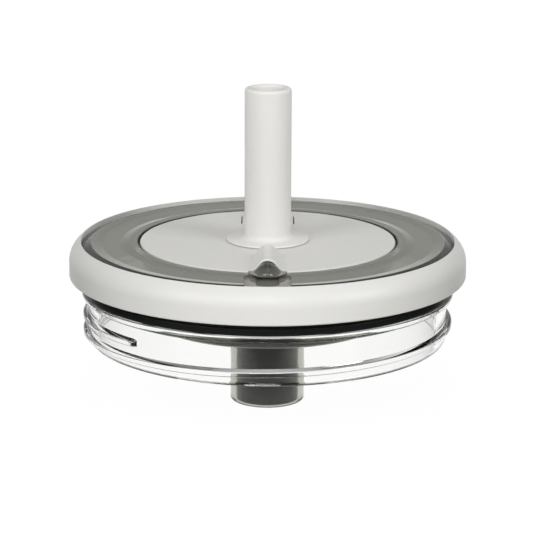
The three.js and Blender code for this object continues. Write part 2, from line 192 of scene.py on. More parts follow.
def dressed(piece, material, body, slot, *nodes):
    """Gives a piece its smooth shading, material and body, and hides the imported parts that it stands for.
    The slot is not used.
    """
    piece.data.materials.clear()
    piece.data.materials.append(material)
    piece.data.shade_smooth()
    piece.data.set_sharp_from_angle(angle=math.radians(35))
    even = piece.modifiers.new("even shading", "WEIGHTED_NORMAL")
    even.keep_sharp = True
    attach(piece, body)
    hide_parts(*nodes)
    return piece


def plastic(name, colour, roughness, **sockets):
    """A material with one Principled shader, its plain values set on the shader's own sockets."""
    material = bpy.data.materials.new(name)
    material.use_nodes = True
    shader = material.node_tree.nodes["Principled BSDF"]
    shader.inputs["Base Color"].default_value = (*colour, 1)
    shader.inputs["Roughness"].default_value = roughness
    for socket, value in sockets.items():
        shader.inputs[socket.replace("_", " ")].default_value = value
    return material


def fed(tree, socket, value):
    """Sets a plain value on a node's socket, or links another node's output to it."""
    if isinstance(value, (int, float)):
        socket.default_value = value
    else:
        tree.links.new(value, socket)


def maths(tree, operation, first, second):
    node = tree.nodes.new("ShaderNodeMath")
    node.operation = operation
    fed(tree, node.inputs[0], first)
    fed(tree, node.inputs[1], second)
    return node.outputs[0]


def ranged(tree, value, low, high, least=0, most=1):
    """Turns the range from low to high into least to most, and stops at both ends."""
    node = tree.nodes.new("ShaderNodeMapRange")
    node.inputs["From Min"].default_value = low
    node.inputs["From Max"].default_value = high
    node.inputs["To Min"].default_value = least
    node.inputs["To Max"].default_value = most
    tree.links.new(value, node.inputs["Value"])
    return node.outputs["Result"]


def blended(tree, share, first, second):
    """A colour between two colours."""
    mix = tree.nodes.new("ShaderNodeMix")
    mix.data_type = "RGBA"
    mix.inputs["A"].default_value = (*first, 1)
    mix.inputs["B"].default_value = (*second, 1)
    tree.links.new(share, mix.inputs["Factor"])
    return mix.outputs["Result"]


def axes_of(tree, coordinates):
    place = tree.nodes.new("ShaderNodeTexCoord")
    axes = tree.nodes.new("ShaderNodeSeparateXYZ")
    tree.links.new(place.outputs[coordinates], axes.inputs[0])
    return axes.outputs


def noise(tree, scale):
    """Noise over the piece's own coordinates, with scale in waves a metre."""
    place = tree.nodes.new("ShaderNodeTexCoord")
    texture = tree.nodes.new("ShaderNodeTexNoise")
    texture.inputs["Scale"].default_value = scale
    tree.links.new(place.outputs["Object"], texture.inputs["Vector"])
    return texture.outputs["Fac"]


def grained(material, scale, depth=0.004 * mm):
    """Bumps the surface with noise that is depth metres high."""
    tree = material.node_tree
    bump = tree.nodes.new("ShaderNodeBump")
    bump.inputs["Distance"].default_value = depth
    tree.links.new(noise(tree, scale), bump.inputs["Height"])
    tree.links.new(bump.outputs["Normal"], tree.nodes["Principled BSDF"].inputs["Normal"])


def uneven(material, scale, low, high):
    """Varies the roughness between two values, as handling and the mould leave it."""
    tree = material.node_tree
    roughness = ranged(tree, noise(tree, scale), 0.35, 0.65, low, high)
    tree.links.new(roughness, tree.nodes["Principled BSDF"].inputs["Roughness"])


def tinted(material, scale, first, second):
    """Lets the colour wander between two near shades."""
    tree = material.node_tree
    colour = blended(tree, noise(tree, scale), first, second)
    tree.links.new(colour, tree.nodes["Principled BSDF"].inputs["Base Color"])


def hazed_and_shaded(material, start, full, most, inner, outer, tint, shade_tint):
    """Mixes matt haze into a clear plastic, from none at the start level to the most at the full level.

    Only the ring between the inner and the outer radius has it. Past them the plastic is clear, and from
    the start level up its colour turns to the shade tint: painted shade where the disc and the rim shade
    its edges."""
    tree = material.node_tree
    shader = tree.nodes["Principled BSDF"]
    axes = axes_of(tree, "Object")
    at_level = ranged(tree, axes["Z"], start, full)
    plan = tree.nodes.new("ShaderNodeCombineXYZ")
    tree.links.new(axes["X"], plan.inputs["X"])
    tree.links.new(axes["Y"], plan.inputs["Y"])
    length = tree.nodes.new("ShaderNodeVectorMath")
    length.operation = "LENGTH"
    tree.links.new(plan.outputs[0], length.inputs[0])
    radius = length.outputs["Value"]
    blur = 0.1 * mm
    past_inner = ranged(tree, radius, inner - blur, inner + blur)
    inside_outer = ranged(tree, radius, outer + blur, outer - blur)
    within = maths(tree, "MULTIPLY", past_inner, inside_outer)
    # Painted shade: past the ring the base colour turns to the shade tint.
    unshaded = maths(tree, "MAXIMUM", within, maths(tree, "SUBTRACT", 1, at_level))
    tree.links.new(blended(tree, unshaded, shade_tint, tint), shader.inputs["Base Color"])
    haze = maths(tree, "MULTIPLY", most, maths(tree, "MULTIPLY", at_level, within))
    tree.links.new(maths(tree, "SUBTRACT", 1, haze), shader.inputs["Transmission Weight"])


smoke_tint = (0.40, 0.402, 0.345)
# Painted shade: the deck's colour at its edges, darkened where the disc and the rim shade them.
smoke_painted_shade = (0.1, 0.1, 0.085)
smoke = plastic("smoke plastic", smoke_tint, 0.02, IOR=1.54)
uneven(smoke, 90, 0.01, 0.035)
grained(smoke, 60)
deck_haze = 0.46
deck_haze_start = ledge_under - 3 * mm
deck_haze_and_shade_edges = (seat_radius + 0.15 * mm, deck_crest + 0.1 * mm)
hazed_and_shaded(smoke, deck_haze_start, deck_under, deck_haze, *deck_haze_and_shade_edges, smoke_tint, smoke_painted_shade)

body_outline = rounded([
    (0, port_top),
    (port_bore, port_top, 0.3 * mm),
    (port_bore, 0, 0.3 * mm),
    (port_radius, 0, 0.5 * mm),
    (port_radius, port_top, 0.7 * mm),
    (well_radius + well_wall, port_top, 2.8 * mm),
    (well_radius + well_wall, ledge_under, 0.5 * mm),
    (seat_radius + well_wall, ledge_under, 0.5 * mm),
    (seat_radius + well_wall, deck_under, 0.5 * mm),
    (deck_skirt_inside, deck_under, 0.6 * mm),
    (deck_skirt_inside, deck_skirt_foot, 0.3 * mm),
    (deck_radius, deck_skirt_foot, 0.3 * mm),
    (deck_radius, deck_top - deck_drop, 0.3 * mm),
    (deck_crest, deck_top, 0.6 * mm),
    (deck_crest - channel_outer_slope, channel_floor, 1.5 * mm),
    (channel_inside + channel_inner_slope, channel_floor, 1.5 * mm),
    (channel_inside, deck_top, 1 * mm),
    (seat_radius, deck_top, 0.3 * mm),
    (seat_radius, seat_level, 0.2 * mm),
    (well_radius, seat_level, 0.2 * mm),
    (well_radius, well_floor, 1.2 * mm),
    (0, well_floor),
])
smoke_body = spun("smoke_moulding", body_outline)
for size, middle in ((tab_size, tab_middle), (thumb_well_size, thumb_well_middle)):
    cut = slab("pocket", (*size[:2], size[2] + mm), middle, deck_top + mm, pocket_corner)
    joined(smoke_body, cut, "DIFFERENCE")
joined(smoke_body, rod("hole", valve_hole, port_top - mm, well_floor + mm, valve_offset), "DIFFERENCE")
dressed(smoke_body, smoke, "lid_body", "smoke_plastic", "smoke_body")

# Straw sleeve
# A dark grey silicone tube that lines the whole port, with a funnel at its top end. It grips the straw
# and takes up the difference between straw sizes.
sleeve_low, sleeve_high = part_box("straw_sleeve")
sleeve_radius = sleeve_high.x
sleeve_bore = 4.4 * mm
sleeve_funnel = 6.5 * mm
sleeve_funnel_depth = 2.4 * mm

grey_silicone = plastic("grey silicone", (0.018, 0.021, 0.018), 0.3, Specular_IOR_Level=0.25)
uneven(grey_silicone, 400, 0.24, 0.38)
grained(grey_silicone, 3000)

sleeve_outline = rounded([
    (sleeve_bore, sleeve_low.z, 0.4 * mm),
    (sleeve_radius, sleeve_low.z, 0.5 * mm),
    (sleeve_radius, sleeve_high.z, 0.2 * mm),
    (sleeve_funnel, sleeve_high.z, 0.2 * mm),
    (sleeve_bore, sleeve_high.z - sleeve_funnel_depth, 1 * mm),
])
straw_sleeve = spun("silicone_sleeve", sleeve_outline, facets=96)
dressed(straw_sleeve, grey_silicone, "lid_body", "grey_silicone", "straw_sleeve")

# Valve seal
# A flat silicone disc on the well's floor. The dial's hub slides on it, and its one hole lies over the
# hole in the floor.
seal_low, seal_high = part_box("valve_seal")
seal_radius = seal_high.y
valve_seal = rod("floor_seal", seal_radius, seal_low.z, seal_high.z)
joined(valve_seal, rod("hole", valve_hole, seal_low.z - mm, seal_high.z + mm, valve_offset), "DIFFERENCE")
dressed(valve_seal, grey_silicone, "lid_body", "grey_silicone", "valve_seal")

# Threaded collar
# The clear skirt that screws into the tumbler, moulded from water-clear plastic and polished. One
# right-handed ridge climbs round it, and a flange at the top holds the gasket up.
collar_low, collar_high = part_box("threaded_collar")
collar_radius = 45.25 * mm
collar_inside = collar_radius - 2 * mm
collar_flange = 46.9 * mm
collar_flange_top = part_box("rim_gasket")[0].z - 0.15 * mm
collar_flange_foot = collar_flange_top - 1.5 * mm
thread_pitch = 4 * mm
thread_depth = 1.45 * mm
thread_bite = 0.4 * mm
thread_root = 2.6 * mm
thread_crest = 1.1 * mm
thread_start = math.radians(-285)
thread_end = math.radians(226)
thread_front_level = collar_low.z + 3.4 * mm
thread_rounding = 0.4 * mm
thread_rise = 0.06  # share of the ridge's length over which its lower end swells to the full size
thread_fall = 0.003  # share over which its upper end shrinks again
thread_foot_size = 0.15  # share of the full size that the lower end starts with
thread_end_size = 0.7  # share of the full size that the upper end stops with
thread_steps = 240  # in each turn

clear = plastic("clear plastic", (0.974, 0.983, 0.968), 0.01, Transmission_Weight=1.0, IOR=1.54)
uneven(clear, 90, 0.0, 0.02)
grained(clear, 45)

collar_outline = rounded([
    (collar_inside, collar_low.z, 0.9 * mm),
    (collar_radius, collar_low.z, 0.9 * mm),
    (collar_radius, collar_flange_foot, 0.6 * mm),
    (collar_flange, collar_flange_foot, 0.6 * mm),
    (collar_flange, collar_flange_top, 0.5 * mm),
    (collar_radius, collar_flange_top, 0.2 * mm),
    (collar_radius, collar_high.z, 0.3 * mm),
    (collar_inside, collar_high.z, 0.3 * mm),
])
threaded_collar = spun("clear_collar", collar_outline, facets=240)


def thread_tree(labels):
    """Geometry nodes that sweep a trapezium ridge up a helix. It rises out of the wall at its lower end."""
    tree = bpy.data.node_groups.new("thread ridge", "GeometryNodeTree")
    face = tree.interface
    inputs = {}
    for label in labels:
        inputs[label] = face.new_socket(label, in_out="INPUT", socket_type="NodeSocketFloat").identifier
    face.new_socket("Geometry", in_out="OUTPUT", socket_type="NodeSocketGeometry")
    given = tree.nodes.new("NodeGroupInput").outputs
    result = tree.nodes.new("NodeGroupOutput").inputs["Geometry"]
    link = tree.links.new

    def vector(x, y, z):
        node = tree.nodes.new("ShaderNodeCombineXYZ")
        for socket, value in zip(node.inputs, (x, y, z)):
            fed(tree, socket, value)
        return node.outputs[0]

    spiral = tree.nodes.new("GeometryNodeCurveSpiral")
    spiral.inputs["Resolution"].default_value = thread_steps
    spiral.inputs["Reverse"].default_value = True
    link(given["Turns"], spiral.inputs["Rotations"])
    root_radius = maths(tree, "SUBTRACT", given["Radius"], given["Bite"])
    link(root_radius, spiral.inputs["Start Radius"])
    link(root_radius, spiral.inputs["End Radius"])
    link(maths(tree, "MULTIPLY", given["Turns"], given["Pitch"]), spiral.inputs["Height"])
    placed = tree.nodes.new("GeometryNodeTransform")
    link(spiral.outputs["Curve"], placed.inputs["Geometry"])
    link(vector(0, 0, given["Level"]), placed.inputs["Translation"])
    link(vector(0, 0, given["Start"]), placed.inputs["Rotation"])

    upright = tree.nodes.new("GeometryNodeSetCurveNormal")
    upright.mode = "Z_UP"
    link(placed.outputs["Geometry"], upright.inputs["Curve"])
    along = tree.nodes.new("GeometryNodeSplineParameter").outputs["Factor"]
    ahead = maths(tree, "SUBTRACT", 1, along)
    rising = maths(tree, "ADD", maths(tree, "DIVIDE", along, given["Rise"]), given["Foot size"])
    falling = maths(tree, "ADD", maths(tree, "DIVIDE", ahead, given["Fall"]), given["End size"])
    swell = maths(tree, "MINIMUM", maths(tree, "MINIMUM", rising, falling), 1)

    profile = tree.nodes.new("GeometryNodeCurvePrimitiveQuadrilateral")
    profile.mode = "POINTS"
    half_root = maths(tree, "MULTIPLY", given["Root"], 0.5)
    half_crest = maths(tree, "MULTIPLY", given["Crest"], 0.5)
    reach = maths(tree, "ADD", given["Depth"], given["Bite"])
    corners = [
        vector(0, maths(tree, "MULTIPLY", half_root, -1), 0),
        vector(reach, maths(tree, "MULTIPLY", half_crest, -1), 0),
        vector(reach, half_crest, 0),
        vector(0, half_root, 0),
    ]
    for i, corner in enumerate(corners):
        link(corner, profile.inputs[f"Point {i + 1}"])
    softened = tree.nodes.new("GeometryNodeFilletCurve")
    softened.mode = "POLY"
    softened.inputs["Count"].default_value = 5
    link(given["Rounding"], softened.inputs["Radius"])
    softened.inputs["Limit Radius"].default_value = True
    link(profile.outputs["Curve"], softened.inputs["Curve"])

    swept = tree.nodes.new("GeometryNodeCurveToMesh")
    swept.inputs["Fill Caps"].default_value = True
    link(upright.outputs["Curve"], swept.inputs["Curve"])
    link(swell, swept.inputs["Scale"])
    link(softened.outputs["Curve"], swept.inputs["Profile Curve"])
    realised = tree.nodes.new("GeometryNodeRealizeInstances")
    link(swept.outputs["Mesh"], realised.inputs["Geometry"])
    finished = tree.nodes.new("GeometryNodeSetMaterial")
    finished.inputs["Material"].default_value = clear
    link(realised.outputs["Geometry"], finished.inputs["Geometry"])
    link(finished.outputs["Geometry"], result)
    return tree, inputs


ridge_sizes = {
    "Radius": collar_radius,
    "Pitch": thread_pitch,
    "Turns": (thread_end - thread_start) / full_turn,
    "Start": thread_start,
    "Level": thread_front_level + (thread_start + full_turn / 4) / full_turn * thread_pitch,
    "Depth": thread_depth,
    "Root": thread_root,
    "Crest": thread_crest,
    "Bite": thread_bite,
    "Rounding": thread_rounding,
    "Rise": thread_rise,
    "Fall": thread_fall,
    "Foot size": thread_foot_size,
    "End size": thread_end_size,
}
ridge_tree, ridge_inputs = thread_tree(ridge_sizes)
ridge = mesh_piece("ridge", [], [])
ridge_maker = ridge.modifiers.new("thread", "NODES")
ridge_maker.node_group = ridge_tree
for label, size in ridge_sizes.items():
    ridge_maker[ridge_inputs[label]] = size
tidied(settled(ridge))
joined(threaded_collar, ridge, "UNION")
dressed(threaded_collar, clear, "lid_body", "clear_plastic", "threaded_collar")

# Rim gasket
# A black silicone ring stretched over the collar's neck. Its lower half is a wider lip that the
# tumbler's wall squeezes.
gasket_low, gasket_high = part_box("rim_gasket")
gasket_inside = 45.4 * mm
gasket_lip = gasket_high.x
gasket_neck = gasket_lip - 0.55 * mm
gasket_lip_height = 1.9 * mm

black_silicone = plastic("black silicone", (0.006, 0.009, 0.007), 0.42, Specular_IOR_Level=0.3)
uneven(black_silicone, 300, 0.36, 0.48)
grained(black_silicone, 3500)

gasket_outline = rounded([
    (gasket_inside, gasket_low.z, 0.2 * mm),
    (gasket_lip, gasket_low.z, 0.5 * mm),
    (gasket_lip, gasket_low.z + gasket_lip_height, 0.35 * mm),
    (gasket_neck, gasket_low.z + gasket_lip_height, 0.15 * mm),
    (gasket_neck, gasket_high.z, 0.2 * mm),
    (gasket_inside, gasket_high.z, 0.2 * mm),
])
rim_gasket = spun("silicone_gasket", gasket_outline, facets=240)
dressed(rim_gasket, black_silicone, "lid_body", "black_silicone", "rim_gasket")

# Rim ring
# The white band that closes the lid's edge, moulded with a fine satin surface and pressed over the
# deck's skirt. Its crown leans in to a thin lip that stands just above the deck.
rim_low, rim_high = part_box("rim_ring")
rim_radius = rim_high.x
rim_straight = 3.9 * mm
rim_lean = 2.8 * mm
crown_angle = math.radians(45)
crown_across = rim_lean / (1 - math.cos(crown_angle))
crown_level = rim_low.z + rim_straight
crown_up = (rim_high.z - crown_level) / math.sin(crown_angle)
crown_steps = 20
rim_inside = deck_radius + 0.3 * mm
rim_shelf_inside = gasket_inside
rim_shelf = 2 * mm
rim_rebate = 0.5 * mm
rim_rebate_radius = gasket_lip + 0.15 * mm

white_satin = plastic("white satin plastic", (0.74, 0.735, 0.705), 0.42)
tinted(white_satin, 120, (0.735, 0.73, 0.70), (0.75, 0.745, 0.715))
uneven(white_satin, 500, 0.38, 0.47)
grained(white_satin, 7000)

crown = []
for step in range(1, crown_steps + 1):
    crown_turn = crown_angle * step / crown_steps
    crown.append((
        rim_radius - crown_across * (1 - math.cos(crown_turn)),
        crown_level + crown_up * math.sin(crown_turn),
    ))
rim_outline = rounded([
    (rim_shelf_inside, rim_low.z + rim_rebate, 0.1 * mm),
    (rim_rebate_radius, rim_low.z + rim_rebate, 0.1 * mm),
    (rim_rebate_radius, rim_low.z, 0.1 * mm),
    (rim_radius, rim_low.z, 0.45 * mm),
    (rim_radius, crown_level),
    *crown,
    (rim_inside, rim_high.z, 0.05 * mm),
    (rim_inside, rim_low.z + rim_shelf, 0.3 * mm),
    (rim_shelf_inside, rim_low.z + rim_shelf, 0.2 * mm),
])
rim_ring = spun("white_rim", rim_outline, facets=240)
dressed(rim_ring, white_satin, "lid_body", "white_plastic", "rim_ring")

# Dial core
# The moving half of the valve, moulded in the same smoke plastic: a cup that turns in the well, a hub
# with the hole, and a rib that runs out under the hump and ends in the rounded nose over the deck.
core_top = 39.85 * mm
core_radius = well_radius - 0.2 * mm
core_foot = core_top - 12.6 * mm
core_inside = core_radius - 2.7 * mm
core_plate_under = core_top - 1.9 * mm
core_edge = 0.3 * mm
hub_radius = 8.4 * mm
hub_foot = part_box("dial_core")[0].z
chamber_radius = 6.6 * mm
chamber_floor = hub_foot + 2 * mm
chamber_top = 35.35 * mm
socket_radius = 6 * mm
socket_floor = 36.25 * mm
seal_bore = 4 * mm
groove_level = core_foot + 2.6 * mm
groove_half = 1 * mm
groove_radius = well_radius - 2 * mm
waist_radius = 28.7 * mm
waist_top = deck_top - 4.6 * mm
waist_foot = deck_top - 7.4 * mm
hump_half_width = 4.25 * mm
hump_height = 3.15 * mm
hump_wall = 0.4 * mm
hump_inner = 15.4 * mm
hump_ramp = 2.6 * mm
hump_fullness = 1.35  # past 1, its section is fuller in the middle than a plain wave
rib_half_width = hump_half_width - hump_wall - 0.15 * mm
rib_height = hump_height - hump_wall - 0.15 * mm
rib_inner = hump_inner + hump_wall + 0.6 * mm
rib_outer = disc_radius - 0.1 * mm
rib_start_level = deck_top - 0.9 * mm
rib_foot = core_top - 0.6 * mm
rib_foot_over_deck = deck_top - 1.55 * mm
nose_start = -disc_radius + 1.2 * mm
nose_end = -disc_radius - 4.9 * mm
nose_half_width = rib_half_width - 0.1 * mm
nose_height = rib_height - 0.15 * mm
nose_level = deck_top + 0.15 * mm
nose_fullness = 0.5  # how far its section swells from the tunnel's bell towards an ellipse
nose_swelling = 2.5  # how soon it gets there
nose_sweep = math.radians(89.5)  # how far its end goes round a quarter of an ellipse, short of a point
lip_start = -disc_radius - 0.3 * mm
lip_end = -disc_radius - 5.6 * mm
lip_half_width = 4.7 * mm
lip_thickness = 0.18 * mm
lip_edge = 0.1 * mm

nose_haze = 0.3
nose_haze_levels = (deck_top + 2.3 * mm, deck_top + 0.5 * mm)
nose_haze_edges = (-mm, 2 * deck_radius)
smoke_core = plastic("smoke core plastic", smoke_tint, 0.02, IOR=1.54)
uneven(smoke_core, 90, 0.01, 0.035)
hazed_and_shaded(smoke_core, *nose_haze_levels, nose_haze, *nose_haze_edges, smoke_tint, smoke_tint)

core_outline = rounded([
    (0, hub_foot),
    (hub_radius, hub_foot, 0.3 * mm),
    (hub_radius, core_plate_under, 0.6 * mm),
    (core_inside, core_plate_under, 0.6 * mm),
    (core_inside, core_foot, 0.4 * mm),
    (core_radius, core_foot, 0.3 * mm),
    (core_radius, groove_level - groove_half),
    (groove_radius, groove_level - groove_half),
    (groove_radius, groove_level + groove_half),
    (core_radius, groove_level + groove_half),
    (core_radius, waist_foot),
    (waist_radius, waist_foot),
    (waist_radius, waist_top),
    (core_radius, waist_top),
    (core_radius, core_top, core_edge),
    (socket_radius, core_top, 0.2 * mm),
    (socket_radius, socket_floor),
    (seal_bore, socket_floor),
    (seal_bore, chamber_top),
    (chamber_radius, chamber_top),
    (chamber_radius, chamber_floor),
    (0, chamber_floor),
])
dial_core = spun("smoke_core", core_outline)
hub_hole = rod("hole", valve_hole, hub_foot - mm, chamber_floor + mm, 0, -valve_offset)
joined(dial_core, hub_hole, "DIFFERENCE")


def bell(share):
    """Height of the hump's section, from 1 on the middle line to 0 at its edge, level at both."""
    share = min(abs(share), 1)
    return 0.5 + 0.5 * math.cos(math.pi * share ** hump_fullness)


def eased(share):
    """Rises from 0 to 1 with no corner at either end, and goes no further."""
    return 0.5 - 0.5 * math.cos(math.pi * max(0, min(share, 1)))


def lofted(name, places, row):
    """Joins closed rows of points, one after another, and closes both ends."""
    last = len(places) - row
    faces = []
    for start in range(0, last, row):
        for i in range(row):
            a = start + i
            b = start + (i + 1) % row
            faces.append((a, b, b + row, a + row))
    faces.append(tuple(range(row))[::-1])
    faces.append(tuple(range(last, last + row)))
    return tidied(mesh_piece(name, places, faces))


def nose_solid(sections=28, across=40):
    """The rib's end as it leaves the hump: its section shrinks along a quarter of an ellipse."""
    places = []
    for section in range(sections + 1):
        turn = nose_sweep * section / sections
        y = nose_start + (nose_end - nose_start) * math.sin(turn)
        scale = math.cos(turn)
        swell = nose_fullness * min(1, nose_swelling * math.sin(turn))
        for i in range(across + 1):
            share = 2 * i / across - 1
            rise = (1 - swell) * bell(share) + swell * math.sqrt(1 - share * share)
            places.append((share * nose_half_width * scale, y, nose_level + rise * nose_height * scale))
        for i in range(across + 1):
            share = 1 - 2 * i / across
            places.append((share * nose_half_width * scale, y, nose_level))
    return lofted("nose", places, 2 * (across + 1))


def lip_solid(steps=48):
    """The thin half-round plate under the nose, with its upper edge cut back."""
    places = []
    top = nose_level + lip_thickness
    for inset, level in ((0, nose_level), (0, top - lip_edge), (lip_edge, top)):
        for step in range(steps + 1):
            turn = math.pi + math.pi * step / steps
            x = (lip_half_width - inset) * math.cos(turn)
            places.append((x, lip_start + (lip_start - lip_end - inset) * math.sin(turn), level))
    return lofted("lip", places, steps + 1)


def rib_solid(sections=40, across=40):
    """The rib under the hump, from its sloped inner end to the disc's edge."""
    places = []
    for section in range(sections + 1):
        y = rib_inner + (rib_outer - rib_inner) * section / sections
        rise = eased((y - rib_inner) / hump_ramp)
        base = rib_foot if y < core_radius - core_edge else rib_foot_over_deck
        shoulder = rib_start_level + (deck_top - rib_start_level) * rise
        for i in range(across + 1):
            share = 2 * i / across - 1
            places.append((share * rib_half_width, -y, shoulder + bell(share) * rib_height * rise))
        places.append((rib_half_width, -y, base))
        places.append((-rib_half_width, -y, base))
    return lofted("rib", places, across + 3)


joined(dial_core, rib_solid(), "UNION")
joined(dial_core, nose_solid(), "UNION")
joined(dial_core, lip_solid(), "UNION")
dressed(dial_core, smoke_core, "dial", "smoke_plastic", "dial_core")

# Dial seal and spout seal
# Two silicone rings: a round cord in the core's groove that keeps the well tight, and a flat washer
# under the spout's stem.
cord_low, cord_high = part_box("dial_seal")
cord_radius = (cord_high.z - cord_low.z) / 2
cord_centre = cord_high.x - cord_radius
cord_level = (cord_high.z + cord_low.z) / 2
cord_points = 16
cord_outline = []
for step in range(cord_points):
    cord_turn = full_turn * step / cord_points
    cord_outline.append((
        cord_centre + cord_radius * math.cos(cord_turn),
        cord_level + cord_radius * math.sin(cord_turn),
    ))
dressed(spun("seal_cord", cord_outline), grey_silicone, "dial", "grey_silicone", "dial_seal")

washer_low, washer_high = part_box("spout_seal")
washer_outline = rounded([
    (seal_bore, washer_low.z, 0.2 * mm),
    (washer_high.x, washer_low.z, 0.2 * mm),
    (washer_high.x, washer_high.z, 0.2 * mm),
    (seal_bore, washer_high.z, 0.2 * mm),
], steps=3)
seal_washer = spun("seal_washer", washer_outline, facets=96)
dressed(seal_washer, grey_silicone, "dial", "grey_silicone", "spout_seal")

# Dial disc
# The white satin disc that caps the dial, moulded with a hollow hump at the front for a thumb. The
# hump is open at the disc's edge, where the smoke nose comes out, and its flanks run out into the disc.
disc_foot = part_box("dial_disc")[0].z
disc_edge = 0.35 * mm
stem_hole = 6 * mm
tunnel_half_width = hump_half_width - hump_wall
tunnel_height = hump_height - hump_wall
tunnel_roof_drop = 0.4 * hump_wall
tunnel_side = 0.12 * mm  # how far its wall leans out
vent_low, vent_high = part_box("vent_plug")
vent_gap = 0.3 * mm
vent_corner = 1.5 * mm
hump_fan = math.radians(18)  # how far round from the front, each way, the disc's points stand close


def hump_rise(x, y):
    """How far the hump stands above the disc at a place."""
    return bell(x / hump_half_width) * hump_height * eased((-y - hump_inner) / hump_ramp)


def disc_under(x, y):
    """The level of the disc's underside at a place, with the tunnel under the hump."""
    inner = hump_inner + hump_wall
    if -y < inner or abs(x) > tunnel_half_width + tunnel_side:
        return disc_foot
    roof = deck_top + bell(x / tunnel_half_width) * tunnel_height * eased((-y - inner) / hump_ramp)
    wall = min(1, (tunnel_half_width + tunnel_side - abs(x)) / tunnel_side)
    return disc_foot + (roof - tunnel_roof_drop - disc_foot) * wall


def disc_solid(half_points=150, rings=64, edge_steps=5):
    """The disc as rings of points that close up round its edge, set close together where the hump is."""
    front = -full_turn / 4
    rest = full_turn - 2 * hump_fan
    angles = [front - hump_fan + 2 * hump_fan * i / half_points for i in range(half_points)]
    angles += [front + hump_fan + rest * i / half_points for i in range(half_points)]
    plain_ring = stem_hole + 3 * mm
    rings_start = hump_inner - 1 * mm
    rings_span = disc_radius - disc_edge - rings_start
    radii = [stem_hole, plain_ring, rings_start]
    radii += [rings_start + rings_span * (i + 1) / rings for i in range(rings)]
    places = []
    for angle in angles:
        across = math.cos(angle)
        along = math.sin(angle)
        column = [(r, deck_top + hump_rise(r * across, r * along)) for r in radii]
        last_rise = hump_rise(disc_radius * across, disc_radius * along)
        for step in range(1, edge_steps + 1):
            turn = full_turn / 4 * step / edge_steps
            column.append((
                disc_radius - disc_edge * (1 - math.sin(turn)),
                deck_top + last_rise - disc_edge * (1 - math.cos(turn)),
            ))
        under = disc_under(disc_radius * across, disc_radius * along)
        column.append((disc_radius, under + 0.1 * mm))
        column += [(r, disc_under(r * across, r * along)) for r in reversed(radii)]
        places += [(r * across, r * along, z) for r, z in column]
    return ringed("white_disc", places, len(places) // len(angles))


dial_disc = disc_solid()
vent_size = (
    vent_high.x - vent_low.x + 2 * vent_gap,
    vent_high.y - vent_low.y + 2 * vent_gap,
    6 * mm,
)
vent_middle = (vent_low.y + vent_high.y) / 2
joined(dial_disc, slab("hole", vent_size, vent_middle, deck_top + 2 * mm, vent_corner), "DIFFERENCE")
dressed(dial_disc, white_satin, "dial", "white_plastic", "dial_disc")

# Vent plug
# A white plug with rounded corners, pressed into the disc behind the spout, which lets air in as the
# drink goes out.
plug_size = (vent_high.x - vent_low.x, vent_high.y - vent_low.y, vent_high.z - vent_low.z)
vent_plug = slab("white_plug", plug_size, vent_middle, vent_high.z, vent_corner)
plug_edge = vent_plug.modifiers.new("edge", "BEVEL")
plug_edge.width = 0.25 * mm
plug_edge.segments = 3
plug_edge.limit_method = "ANGLE"
settled(vent_plug)
dressed(vent_plug, white_satin, "dial", "white_plastic", "vent_plug")

# Spout
# The tall drinking tube, moulded in white with a flange that lies on the disc and a stem that is
# pressed into the dial's hub. Its lip is fully rounded.
spout_low, spout_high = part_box("spout")
spout_radius = 5.85 * mm
spout_bore = 3.6 * mm
spout_mouth = 4.1 * mm
spout_mouth_depth = 5 * mm
spout_lip = 0.84 * mm
flange_radius = spout_high.x
flange_foot = deck_top + 0.15 * mm
flange_edge = 0.5 * mm
flange_rise = 0.25 * mm
flange_fillet = 1.3 * mm

spout_white = plastic("spout white plastic", (0.78, 0.77, 0.745), 0.55, Specular_IOR_Level=0.25)
tinted(spout_white, 120, (0.775, 0.765, 0.74), (0.79, 0.78, 0.755))
uneven(spout_white, 500, 0.5, 0.6)
grained(spout_white, 7000)

spout_outline = rounded([
    (spout_bore, spout_low.z, 0.2 * mm),
    (spout_radius, spout_low.z, 0.2 * mm),
    (spout_radius, flange_foot),
    (flange_radius, flange_foot, 0.15 * mm),
    (flange_radius, flange_foot + flange_edge, 0.25 * mm),
    (spout_radius, flange_foot + flange_edge + flange_rise, flange_fillet),
    (spout_radius, spout_high.z, spout_lip),
    (spout_mouth, spout_high.z, spout_lip),
    (spout_bore, spout_high.z - spout_mouth_depth, 2 * mm),
], steps=8)
spout = spun("white_spout", spout_outline, facets=128)
dressed(spout, spout_white, "dial", "spout_plastic", "spout")

# Floor and light
# A white floor that keeps a faint shadow, a pale room, softboxes in front, to the left, to the right and
# overhead, and two black boards beside the lid that only its clear and glossy pieces see.
floor_size = 3
floor_white = 0.93
floor_corners = [(x * floor_size, y * floor_size, 0) for x, y in ((-1, -1), (1, -1), (1, 1), (-1, 1))]
floor = mesh_piece("floor", floor_corners, [(0, 1, 2, 3)])
floor_paint = plastic("floor", (0.75, 0.75, 0.75), 0.9)
floor_tree = floor_paint.node_tree
floor_rays = floor_tree.nodes.new("ShaderNodeLightPath").outputs
floor_glow = floor_tree.nodes.new("ShaderNodeEmission")
floor_glow.inputs["Color"].default_value = (1.05, 1.05, 1.05, 1)
# For glossy and transmission rays the floor is all glow, bright behind the lid and dim in front of it:
# painted light and painted shade in what the clear and glossy pieces reflect and show through.
lit_back = ranged(floor_tree, axes_of(floor_tree, "Object")["Y"], -50 * mm, -10 * mm, 0.22)
glow_level = maths(floor_tree, "MAXIMUM", floor_rays["Is Camera Ray"], lit_back)
floor_tree.links.new(glow_level, floor_glow.inputs["Strength"])
indirect = maths(floor_tree, "MAXIMUM", floor_rays["Is Glossy Ray"], floor_rays["Is Transmission Ray"])
seen_share = maths(floor_tree, "MULTIPLY", floor_rays["Is Camera Ray"], floor_white)
glow_share = maths(floor_tree, "MAXIMUM", seen_share, indirect)


def shaders_mixed(tree, share, first, second):
    mix = tree.nodes.new("ShaderNodeMixShader")
    for socket, output in zip(mix.inputs, (share, first, second)):
        tree.links.new(output, socket)
    return mix.outputs[0]


